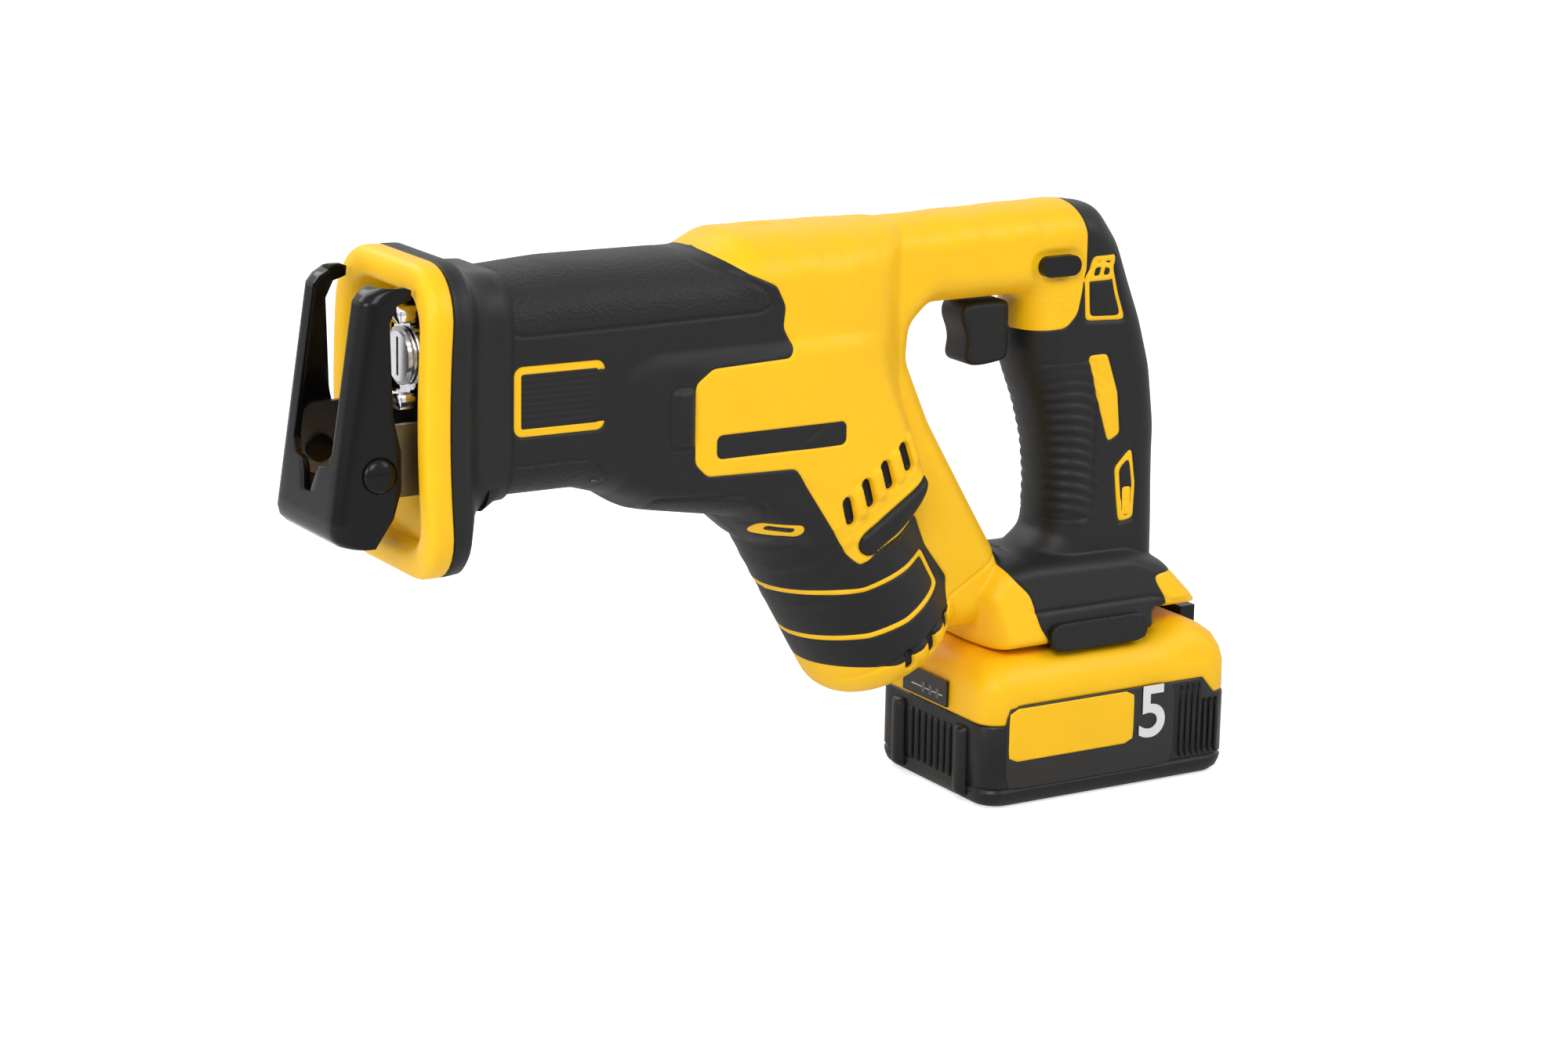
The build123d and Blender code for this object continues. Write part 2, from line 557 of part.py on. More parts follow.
def make_battery():
    half_length = BATTERY_LENGTH / 2
    half = BATTERY_WIDTH / 2
    case = rounded_slab(-half_length, half_length, half, 0, BATTERY_SPLIT, BATTERY_CORNER)
    case = fillet(case.edges().group_by(Axis.Z)[0], 4)
    inside = rounded_slab(-half_length + BATTERY_WALL, half_length - BATTERY_WALL,
                          half - BATTERY_WALL, 3, BATTERY_TOP, BATTERY_CORNER - BATTERY_WALL)
    for y in (-22, 22):
        case = case + block(-half_length - 2.5, -half_length + 3, y - 3.5, y + 3.5, 5,
                            BATTERY_SPLIT - 2)
    case = case - inside
    cover = rounded_slab(-half_length, half_length, half, BATTERY_SPLIT, 50, BATTERY_CORNER)
    cover = cover + rounded_slab(-half_length + 6, half_length - 6, half - 6, 50, BATTERY_TOP,
                                 BATTERY_CORNER)
    hump = block(HUMP_FRONT + GAP, half_length - 3, -half + 12, half - 12, BATTERY_TOP - 1,
                 HUMP_TOP)
    tongue = block(TONGUE_FRONT, HUMP_FRONT + 1, -TONGUE_WIDTH / 2, TONGUE_WIDTH / 2,
                   BATTERY_TOP - 1, BATTERY_TOP + TONGUE_HEIGHT)
    tongue = tongue & block(-100, FOOT_REAR + 1.5, -60, 60, 0, 100)
    cover = cover + hump + tongue
    cover = cover - rounded_slab(-half_length + BATTERY_WALL, half_length - BATTERY_WALL,
                                 half - BATTERY_WALL, BATTERY_SPLIT - 1, 47.5,
                                 BATTERY_CORNER - BATTERY_WALL)
    slot_end = TONGUE_FRONT + BLADE_LENGTH + 3
    for y in (-12, -4, 4, 12):
        cover = cover - block(TONGUE_FRONT - 1, slot_end, y - 1, y + 1, 60, 70)
    pocket = block(half_length - 12, half_length + 1, -LATCH_HALF - GAP, LATCH_HALF + GAP,
                   49.5, HUMP_TOP + 1)
    cover = cover - pocket
    latch = block(half_length - 12 + LATCH_TRAVEL + 0.5, half_length - 0.5, -LATCH_HALF,
                  LATCH_HALF, 49.5 + GAP, HUMP_TOP - 1)
    cells = []
    for row in range(2):
        for column in range(5):
            x = (column - 2) * (2 * CELL_RADIUS + 0.6)
            z = 3 + GAP + CELL_RADIUS + row * (2 * CELL_RADIUS + 0.6)
            cells.append(cross_rod(x, z, -32.5, 32.5, CELL_RADIUS))
    board = block(-40, 40, -30, 30, 45.2, 47.2)
    contacts = []
    for y in (-12, -4, 4, 12):
        contacts.append(block(slot_end - 1.4, slot_end, y - 1, y + 1, 60, 64))
    gauge = block(-half_length - 1.2, -half_length, -12, 19, 35.5, 46)
    screws = []
    for x in (-48, 48):
        for y in (-29, 29):
            screws.append(rod((x, y, 0.6), (x, y, 3), 2.6))
    for screw in screws:
        case = case - screw
    heads = group(*screws)
    for x in (-48, 48):
        for y in (-29, 29):
            case = case - rod((x, y, -1), (x, y, 0.7), 2.6)
    return case, cover, latch, group(*cells), board, group(*contacts), gauge, heads


# ---- assembly -----------------------------------------------------------
def build():
    nodes = {}
    shell, sleeve, grip, cover = make_housing()
    arm, pin, pin_hole = make_shoe_lever()
    sleeve = sleeve - pin_hole
    nodes["housing_right"] = right_half(shell)
    nodes["housing_left"] = left_half(shell)
    nodes["barrel_sleeve"] = sleeve
    nodes["grip_overmold"] = grip
    nodes["motor_cover"] = cover
    nodes["motor_end_cap"] = make_motor_cap()
    nodes["housing_screws"] = make_screws()
    nodes["nose_ring"], nodes["nose_boot"] = make_nose()
    nodes["gear_case"], nodes["gear_case_cover"] = make_gear_case()
    nodes["ram_bush"] = make_bush()
    nodes["crank_gear"] = make_crank_gear()
    nodes["crank_axle"] = cross_rod(GEAR_X, GEAR_Z, DISC_FACE + 0.3, CASE_HALF, AXLE_RADIUS)
    nodes["crank_pin"] = cross_rod(GEAR_X, GEAR_Z + CRANK, FORK_HALF + 0.4, DISC_BACK - 1,
                                   PIN_RADIUS)
    nodes["motor_pinion"] = make_pinion()
    nodes["ram_shaft"], nodes["ram_fork"] = make_ram()
    nodes["clamp_body"], nodes["clamp_collar"], nodes["clamp_ring"] = make_clamp()
    motor = make_motor()
    names = ("motor_front_plate", "front_bearing", "rotor_shaft", "stator", "rotor_core",
             "cooling_fan", "rear_bearing", "motor_end_plate")
    nodes.update(zip(names, motor))
    nodes["trigger"], nodes["switch_body"], nodes["lock_button"] = make_controls()
    names = ("controller_tray", "controller_board", "terminal_block", "terminal_blades",
             "foot_bumpers")
    nodes.update(zip(names, make_foot_parts()))
    nodes["shoe_bracket"] = make_bracket()
    nodes["shoe_rivets"] = make_rivets()
    nodes["shoe"] = make_shoe()
    nodes["shoe_lever"] = arm
    nodes["shoe_lever_pin"] = pin
    names = ("battery_case", "battery_cover", "battery_latch", "battery_cells",
             "battery_board", "battery_contacts", "battery_gauge", "battery_screws")
    nodes.update(zip(names, make_battery()))
    return nodes


os.makedirs("parts", exist_ok=True)
for name, solid in build().items():
    export_step(solid, f"parts/{name}.step")
    print(name, len(solid.solids()), round(solid.volume), solid.bounding_box())
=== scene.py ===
import json
import math

import bpy
import numpy as np
from mathutils import Matrix, Vector


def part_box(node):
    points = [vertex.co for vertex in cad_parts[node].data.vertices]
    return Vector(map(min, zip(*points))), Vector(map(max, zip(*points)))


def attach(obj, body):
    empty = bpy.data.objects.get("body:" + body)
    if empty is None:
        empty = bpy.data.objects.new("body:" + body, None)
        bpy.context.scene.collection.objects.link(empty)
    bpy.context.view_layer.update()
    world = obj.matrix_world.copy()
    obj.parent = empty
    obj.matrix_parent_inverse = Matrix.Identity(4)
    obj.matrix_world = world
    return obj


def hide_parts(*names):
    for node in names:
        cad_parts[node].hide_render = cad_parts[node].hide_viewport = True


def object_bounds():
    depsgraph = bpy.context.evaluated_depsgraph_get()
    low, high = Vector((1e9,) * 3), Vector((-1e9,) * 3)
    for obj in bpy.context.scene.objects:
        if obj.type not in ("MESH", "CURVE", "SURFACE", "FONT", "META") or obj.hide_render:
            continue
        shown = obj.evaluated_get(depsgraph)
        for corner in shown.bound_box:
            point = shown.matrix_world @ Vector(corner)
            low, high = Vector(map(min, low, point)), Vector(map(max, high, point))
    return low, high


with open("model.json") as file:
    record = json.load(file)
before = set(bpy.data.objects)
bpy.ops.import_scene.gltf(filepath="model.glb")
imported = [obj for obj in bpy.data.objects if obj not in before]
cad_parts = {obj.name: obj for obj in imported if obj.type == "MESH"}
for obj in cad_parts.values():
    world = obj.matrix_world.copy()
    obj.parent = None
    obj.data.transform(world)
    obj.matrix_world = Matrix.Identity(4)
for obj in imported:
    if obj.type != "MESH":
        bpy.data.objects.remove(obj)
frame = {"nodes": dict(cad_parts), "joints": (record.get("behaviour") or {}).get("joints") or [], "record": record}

CAD_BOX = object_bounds()
MM = 0.001
STEP = 0.6             # grid of the body's surfaces, mm

# Sizes read from the frame, in millimetres.
def span(node):
    low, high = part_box(node)
    return np.array(low) / MM, np.array(high) / MM


NOSE_LOW, NOSE_HIGH = span("nose_ring")
SLEEVE_LOW, SLEEVE_HIGH = span("barrel_sleeve")
CASE_LOW, CASE_HIGH = span("battery_case")
COVER_LOW = span("battery_cover")[0]
PAD_LOW, PAD_HIGH = span("foot_bumpers")
GEAR_LOW, GEAR_HIGH = span("crank_gear")
GEAR_X = (GEAR_LOW[0] + GEAR_HIGH[0]) / 2
GEAR_Z = (GEAR_LOW[2] + GEAR_HIGH[2]) / 2
ROTOR = next(j for j in frame["joints"] if j["name"] == "rotor_spin")
MOTOR_X, _, MOTOR_Z = ROTOR["axis"]
BARREL_HALF = SLEEVE_HIGH[1]
HANDLE_HALF = span("grip_overmold")[1][1]
FOOT_HALF = PAD_HIGH[1] - 2.4
MOTOR_HALF = span("motor_cover")[1][1]


# ---- materials ----------------------------------------------------------
def new_material(name, color, rough, metallic=0.0, coat=0.0, coat_rough=0.1):
    mat = bpy.data.materials.new(name)
    mat.use_nodes = True
    shader = mat.node_tree.nodes["Principled BSDF"]
    shader.inputs["Base Color"].default_value = (*color, 1)
    shader.inputs["Roughness"].default_value = rough
    shader.inputs["Metallic"].default_value = metallic
    shader.inputs["Coat Weight"].default_value = coat
    shader.inputs["Coat Roughness"].default_value = coat_rough
    return mat, mat.node_tree, shader


def noise(tree, scale, detail=3.0):
    coords = tree.nodes.new("ShaderNodeTexCoord")
    node = tree.nodes.new("ShaderNodeTexNoise")
    node.inputs["Scale"].default_value = scale
    node.inputs["Detail"].default_value = detail
    tree.links.new(coords.outputs["Object"], node.inputs["Vector"])
    return node.outputs["Fac"]


def ramp(tree, source, low, high):
    node = tree.nodes.new("ShaderNodeMapRange")
    node.inputs["To Min"].default_value = low
    node.inputs["To Max"].default_value = high
    tree.links.new(source, node.inputs["Value"])
    return node.outputs["Result"]


def bump(tree, shader, source, strength, distance):
    node = tree.nodes.new("ShaderNodeBump")
    node.inputs["Strength"].default_value = strength
    node.inputs["Distance"].default_value = distance
    tree.links.new(source, node.inputs["Height"])
    tree.links.new(node.outputs["Normal"], shader.inputs["Normal"])


def shade(tree, shader, color, spread, scale):
    """Small uneven colour, as a moulding has."""
    mix = tree.nodes.new("ShaderNodeMix")
    mix.data_type = "RGBA"
    mix.inputs["A"].default_value = (*[c * (1 - spread) for c in color], 1)
    mix.inputs["B"].default_value = (*[min(1, c * (1 + spread)) for c in color], 1)
    tree.links.new(noise(tree, scale), mix.inputs["Factor"])
    tree.links.new(mix.outputs["Result"], shader.inputs["Base Color"])


def moulded(name, color, rough, grain, depth, spread=0.06, coat=0.0):
    """Moulded plastic with a fine spark-eroded grain."""
    mat, tree, shader = new_material(name, color, rough, coat=coat, coat_rough=0.25)
    shade(tree, shader, color, spread, 45)
    fine = noise(tree, grain, 4)
    tree.links.new(ramp(tree, noise(tree, 90), rough - 0.05, rough + 0.07),
                   shader.inputs["Roughness"])
    bump(tree, shader, fine, 0.35, depth)
    return mat


def leather(name, color, rough, scale, depth):
    """Moulded rubber with a pebbled leather grain."""
    mat, tree, shader = new_material(name, color, rough)
    shade(tree, shader, color, 0.15, 60)
    coords = tree.nodes.new("ShaderNodeTexCoord")
    cells = tree.nodes.new("ShaderNodeTexVoronoi")
    cells.feature = "SMOOTH_F1"
    cells.inputs["Scale"].default_value = scale
    tree.links.new(coords.outputs["Object"], cells.inputs["Vector"])
    bump(tree, shader, cells.outputs["Distance"], 0.7, depth)
    return mat


def metal(name, color, rough, scratch=0.06):
    mat, tree, shader = new_material(name, color, rough, metallic=1.0)
    shade(tree, shader, color, 0.08, 200)
    tree.links.new(ramp(tree, noise(tree, 160, 6), rough - scratch, rough + scratch),
                   shader.inputs["Roughness"])
    bump(tree, shader, noise(tree, 900), 0.08, 0.0001)
    return mat


YELLOW = moulded("yellow_shell", (0.95, 0.535, 0.006), 0.42, 1600, 0.00012)
BLACK = moulded("black_overmould", (0.0085, 0.0085, 0.009), 0.46, 1500, 0.00015, 0.15)
GRAIN = leather("grained_rubber", (0.011, 0.011, 0.0115), 0.52, 900, 0.0005)
DARK = moulded("dark_plastic", (0.006, 0.006, 0.0065), 0.36, 1200, 0.0001, 0.12)
CASE = moulded("battery_black", (0.0075, 0.0075, 0.008), 0.34, 1400, 0.00012, 0.12)
PRINT = moulded("printed_black", (0.006, 0.006, 0.0065), 0.3, 2000, 0.00005, 0.1)
WHITE = moulded("printed_white", (0.72, 0.72, 0.72), 0.4, 2000, 0.00005, 0.02)
GLOSS = moulded("gloss_black_paint", (0.0022, 0.0022, 0.0025), 0.09, 500, 0.00004, 0.1, 0.3)
for coating, level in ((BLACK, 0.28), (GRAIN, 0.25), (DARK, 0.25), (CASE, 0.3), (GLOSS, 0.08),
                    (YELLOW, 0.3)):
    coating.node_tree.nodes["Principled BSDF"].inputs["Specular IOR Level"].default_value = level
PLATE = metal("dark_steel_plate", (0.14, 0.14, 0.145), 0.36)
STEEL = metal("ground_steel", (0.56, 0.56, 0.57), 0.28)
CHROME = metal("chrome_clamp", (0.80, 0.80, 0.82), 0.12, 0.04)
ALLOY = metal("cast_alloy", (0.52, 0.53, 0.54), 0.45)
BRONZE = metal("bronze", (0.62, 0.38, 0.18), 0.38)
COPPER = metal("copper_windings", (0.60, 0.25, 0.10), 0.4)
GREEN = moulded("circuit_green", (0.02, 0.16, 0.06), 0.35, 800, 0.0001)
BLUE = moulded("cell_wrap", (0.08, 0.22, 0.5), 0.3, 900, 0.0001)
FINISH = {
    "yellow_plastic": YELLOW, "black_plastic": DARK, "black_rubber": GRAIN,
    "shoe_black": GLOSS, "bracket_steel": PLATE, "bright_steel": STEEL, "chrome": CHROME,
    "cast_alloy": ALLOY, "bronze": BRONZE, "copper_steel": COPPER, "circuit_green": GREEN,
    "cell_wrap": BLUE, "brass": BRONZE, "panel_black": PRINT,
}


# ---- mesh helpers -------------------------------------------------------
def make_object(name, points, faces, materials, body, node_names=(), smooth=True, face_slots=None):
    mesh = bpy.data.meshes.new(name)
    mesh.from_pydata((np.asarray(points, float) * MM).tolist(), [], [list(f) for f in faces])
    for mat in materials:
        mesh.materials.append(mat)
    if face_slots is not None:
        mesh.polygons.foreach_set("material_index", np.asarray(face_slots, np.int32))
    mesh.polygons.foreach_set("use_smooth", [smooth] * len(mesh.polygons))
    mesh.update()
    obj = bpy.data.objects.new(name, mesh)
    bpy.context.scene.collection.objects.link(obj)
    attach(obj, body)
    if node_names:
        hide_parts(*node_names)
    return obj


def bevel(obj, width, segments=3, angle=30):
    mod = obj.modifiers.new("bevel", "BEVEL")
    mod.width = width * MM
    mod.segments = segments
    mod.limit_method = "ANGLE"
    mod.angle_limit = math.radians(angle)
    mod.use_clamp_overlap = True
    mod.harden_normals = False
    return obj


# ---- fields on the side view, in mm -------------------------------------
def polygon(X, Z, points):
    """Signed distance to a side outline, positive inside."""
    best = np.full(X.shape, 1e9)
    inside = np.zeros(X.shape, bool)
    count = len(points)
    for i in range(count):
        x0, z0 = points[i]
        x1, z1 = points[(i + 1) % count]
        dx, dz = x1 - x0, z1 - z0
        t = np.clip(((X - x0) * dx + (Z - z0) * dz) / (dx * dx + dz * dz), 0, 1)
        best = np.minimum(best, (X - x0 - t * dx) ** 2 + (Z - z0 - t * dz) ** 2)
        if dz != 0:
            crosses = ((z0 <= Z) != (z1 <= Z)) & (X < x0 + (Z - z0) / dz * dx)
            inside ^= crosses
    distance = np.sqrt(best)
    return np.where(inside, distance, -distance)


def blur(field, sigma):
    """Rounds the corners of an outline's field."""
    reach = int(3 * sigma / STEP) + 1
    kernel = np.exp(-0.5 * (np.arange(-reach, reach + 1) * STEP / sigma) ** 2)
    kernel /= kernel.sum()
    for axis in (0, 1):
        padded = np.pad(field, [(reach, reach) if a == axis else (0, 0) for a in (0, 1)], "edge")
        total = np.zeros_like(field)
        for i, weight in enumerate(kernel):
            part = np.roll(padded, -i, axis)
            total += weight * (part[: field.shape[0], : field.shape[1]])
        field = total
    return field


def capsule(X, Z, start, end, radius):
    x0, z0 = start
    dx, dz = end[0] - x0, end[1] - z0
    t = np.clip(((X - x0) * dx + (Z - z0) * dz) / (dx * dx + dz * dz + 1e-9), 0, 1)
    return radius - np.hypot(X - x0 - t * dx, Z - z0 - t * dz)


def slab(X, Z, x0, x1, z0, z1, radius):
    """A rounded rectangle."""
    qx = np.abs(X - (x0 + x1) / 2) - (x1 - x0) / 2 + radius
    qz = np.abs(Z - (z0 + z1) / 2) - (z1 - z0) / 2 + radius
    out = np.hypot(np.maximum(qx, 0), np.maximum(qz, 0)) + np.minimum(np.maximum(qx, qz), 0)
    return radius - out


def dome(distance, half, radius, power=2.3):
    """Half-width that rounds over to nothing at the outline."""
    t = 1 - np.clip(distance / radius, 0, 1)
    height = half * (1 - t ** power) ** (1 / power)
    return np.where(distance > 0, height, 3 * distance)


def smooth_max(a, b, k):
    h = np.clip(k - np.abs(a - b), 0, None) / k
    return np.maximum(a, b) + h * h * k / 4


def step(value, width=0.6):
    t = np.clip(value / width * 0.5 + 0.5, 0, 1)
    return t * t * (3 - 2 * t)


def groove(distance, width=0.9):
    return np.exp(-(distance / width) ** 2)


# ---- the body's side outlines -------------------------------------------
BARREL = [(-290, 142), (-228, 142), (-214, 138), (-203, 131), (-165, 125), (-150, 112),
          (-100, 100), (-88, 150), (-88, 231), (-160, 231.5), (-172, 225.5), (-230, 226), (-262, 224),
          (-290, 226)]
GEARBOX = [(-222, 190), (-206, 199), (-100, 199), (-88, 165), (-76, 130), (-96, 100),
           (-135, 108), (-160, 124), (-200, 131), (-216, 140)]
LOOP = [(-150, 231), (-100, 230), (-60, 231), (-8, 232), (6, 230), (16, 216), (22, 200),
        (28, 185), (34, 165), (38, 140), (38.5, 72), (-40, 66), (-60, 66), (-84, 82), (-125, 130)]
HAND = [(-72, 196.5), (-28, 196.5), (-27, 168), (-20, 150), (-16, 135), (-14, 118), (-14, 101),
        (-22, 95), (-35, 93), (-50, 118), (-70, 152), (-81, 177), (-80, 189)]
FOOT = [(-46, 58.4), (29, 58.4), (29, 66.2), (55.5, 66.2), (47, 76), (38, 86), (20, 93),
        (-30, 94), (-44, 92), (-52, 82)]
BLACK_FRONT = [(-300, 245), (-176, 245), (-173, 226), (-163, 219), (-152, 214), (-148, 206),
               (-149, 198), (-145, 191), (-147, 187), (-180, 186), (-187, 181), (-187, 151),
               (-182, 146), (-144, 145), (-120, 109), (-114, 104), (-92, 117), (-82, 118),
               (-77, 105), (-66, 91), (-67, 79), (-94, 62), (-132, 60), (-300, 60)]
BLACK_REAR = [(-8, 240), (-4.5, 221), (-4.5, 206), (-8, 189), (-13, 184), (-30, 182.5),
              (-34, 176), (-42, 150), (-34, 120), (-33, 99), (-42, 96), (-39, 88), (-32, 81),
              (-29, 68), (-24, 60), (-20, 50), (27, 50), (33, 71), (27, 82), (70, 84), (70, 240)]
UPPER_PATCH = [(-270, 222), (-263, 207), (-256, 204), (-158, 205), (-153, 208), (-157, 213),
               (-166, 218), (-178, 222), (-190, 235), (-268, 235)]
LOWER_PATCH = [(-272, 140), (-270, 152), (-262, 157), (-230, 157), (-220, 151), (-222, 145),
               (-235, 138)]
BELLY_PATCH = [(-203, 139), (-165, 137), (-154, 130), (-155, 124), (-165, 122), (-200, 128)]
WARNING_FRAME = [(-141, 93), (-112, 95), (-92, 101), (-81, 105), (-72, 90), (-92, 79),
                 (-107, 74), (-130, 71), (-138, 80)]
UPPER_INSERT = [(-4, 186), (-5, 203), (-1, 209), (8, 208), (11, 196), (15, 185)]
STRIP = [(-2, 172), (7, 172), (13, 156), (15.5, 139), (10, 136), (5, 150)]
LOWER_INSERT = [(14, 125), (22, 133), (24, 118), (23, 104), (16, 103), (15, 112)]
BADGE = (-259, -223, 167.5, 193, 3.5)
NAME_STRIP = (-178, -122, 152, 161, 2.5)
REST_BAR = ((-110, 112.5), (-84, 130))
VENTS = [(-120, 126), (-111.5, 132), (-103, 138), (-94.5, 144)]
END_VENTS = [(-90, 64), (-79.5, 69), (-70, 75)]


def motor_field(X, Z):
    """Half-width of the tilted motor housing, with its place along and across its axis."""
    along = (X - GEAR_X) * MOTOR_X + (Z - GEAR_Z) * MOTOR_Z
    across = (X - GEAR_X) * -MOTOR_Z + (Z - GEAR_Z) * MOTOR_X
    end = np.clip((along - 128) / 20, 0, 1)
    radius = MOTOR_HALF * np.sqrt(np.clip(1 - end ** 2.6, 0, None)) + 0.6
    radius = np.where(along > 148, 148 - along, radius)
    radius = np.where(along < 60, MOTOR_HALF + 0.6, radius)
    inside = radius - np.abs(across)
    height = np.sqrt(np.clip(radius ** 2 - across ** 2, 0, None))
    height = np.where(inside > 0, height, inside * 3)
    return np.where(along < 30, -30.0, height), np.where(along < 30, -30.0, inside), along, across


def body_fields():
    xs = np.arange(SLEEVE_LOW[0] - 2, 58, STEP)
    zs = np.arange(36, 236, STEP)
    X, Z = np.meshgrid(xs, zs, indexing="ij")
    hole = blur(polygon(X, Z, HAND), 2.5)
    barrel = blur(polygon(X, Z, BARREL), 2.0)
    gearbox = blur(polygon(X, Z, GEARBOX), 3.0)
    loop = np.minimum(blur(polygon(X, Z, LOOP), 2.5), -hole)
    foot = np.minimum(blur(polygon(X, Z, FOOT), 1.2), -hole)
    motor, motor_in, along, across = motor_field(X, Z)
    taper = 1 - 0.06 * np.clip((-205 - X) / 60, 0, 1)
    shoulder = 1 - 0.36 * step(X + 92, 42) * step(Z - 160, 30)
    height = dome(barrel, BARREL_HALF * taper * shoulder, 19, 2.3)
    height = smooth_max(height, dome(gearbox, (BARREL_HALF + 1.8) * shoulder, 14, 2.3), 4)
    height = smooth_max(height, motor, 3)
    waist = 1 - 0.1 * np.exp(-((Z - 130) / 26) ** 2) * step(X + 40, 20)
    height = smooth_max(height, dome(loop, HANDLE_HALF * waist, 13, 2.2), 6)
    slope = np.clip((FOOT_HALF - 2 - (Z - 66) * 0.30) / FOOT_HALF, 0.3, 1)
    height = smooth_max(height, dome(foot, FOOT_HALF * slope, 7, 2.6), 4)
    edge = np.maximum.reduce([barrel, loop, foot, np.minimum(motor_in, 50)])
    edge = np.where(height > 0, np.maximum(edge, 0.01), edge)
    return X, Z, height, edge, along, across


def side_slot(X, Z, x, z):
    return capsule(X, Z, (x + 1.0, z - 3.6), (x - 1.0, z + 3.6), 1.9)


def end_slot(X, Z, x, z):
    return capsule(X, Z, (x + 0.8, z - 2.4), (x - 0.8, z + 2.4), 1.7)


def color_field(X, Z, along, across):
    """Positive where the surface is black, negative where it is yellow."""
    black = np.maximum(blur(polygon(X, Z, BLACK_FRONT), 1.2), blur(polygon(X, Z, BLACK_REAR), 1.6))
    features = [
        capsule(X, Z, *REST_BAR, 5.0),
        slab(X, Z, *NAME_STRIP),
    ]
    for x, z in VENTS:
        features.append(side_slot(X, Z, x, z))
    for x, z in END_VENTS:
        features.append(end_slot(X, Z, x, z))
    for field in features:
        black = np.maximum(black, field)
    badge = slab(X, Z, *BADGE)
    border = 1.4 - np.abs(badge - 1.4)
    frames = [np.minimum(border, np.maximum(np.abs(Z - 180) - 9.5, -226 - X))]
    for outline, width in ((WARNING_FRAME, 1.0), (UPPER_INSERT, 0.9), (LOWER_INSERT, 0.9)):
        ring = blur(polygon(X, Z, outline), 1.0)
        frames.append(width - np.abs(ring - width))
    frames.append(blur(polygon(X, Z, STRIP), 0.9))
    lean = X - 3.0 - (Z - 206) * 0.25
    slots = np.maximum(slab(lean, Z, -3.6, -1.0, 203.6, 209, 0.8),
                       slab(lean, Z, 1.0, 3.6, 203.6, 209, 0.8))
    frames.append(np.minimum(slab(lean, Z, -5.8, 5.8, 201.5, 211.2, 1.6), -slots))
    frames.append(slab(X, Z, 17.5, 21.5, 106, 117, 1))
    frames.append(capsule(X, Z, (-153, 121), (-141, 120), 2.6))
    yellow = np.maximum.reduce(frames)
    black = np.minimum(black, -yellow)
    slit = capsule(X, Z, (-151, 121.4), (-143, 120.4), 1.0)
    return np.maximum(black, slit), badge


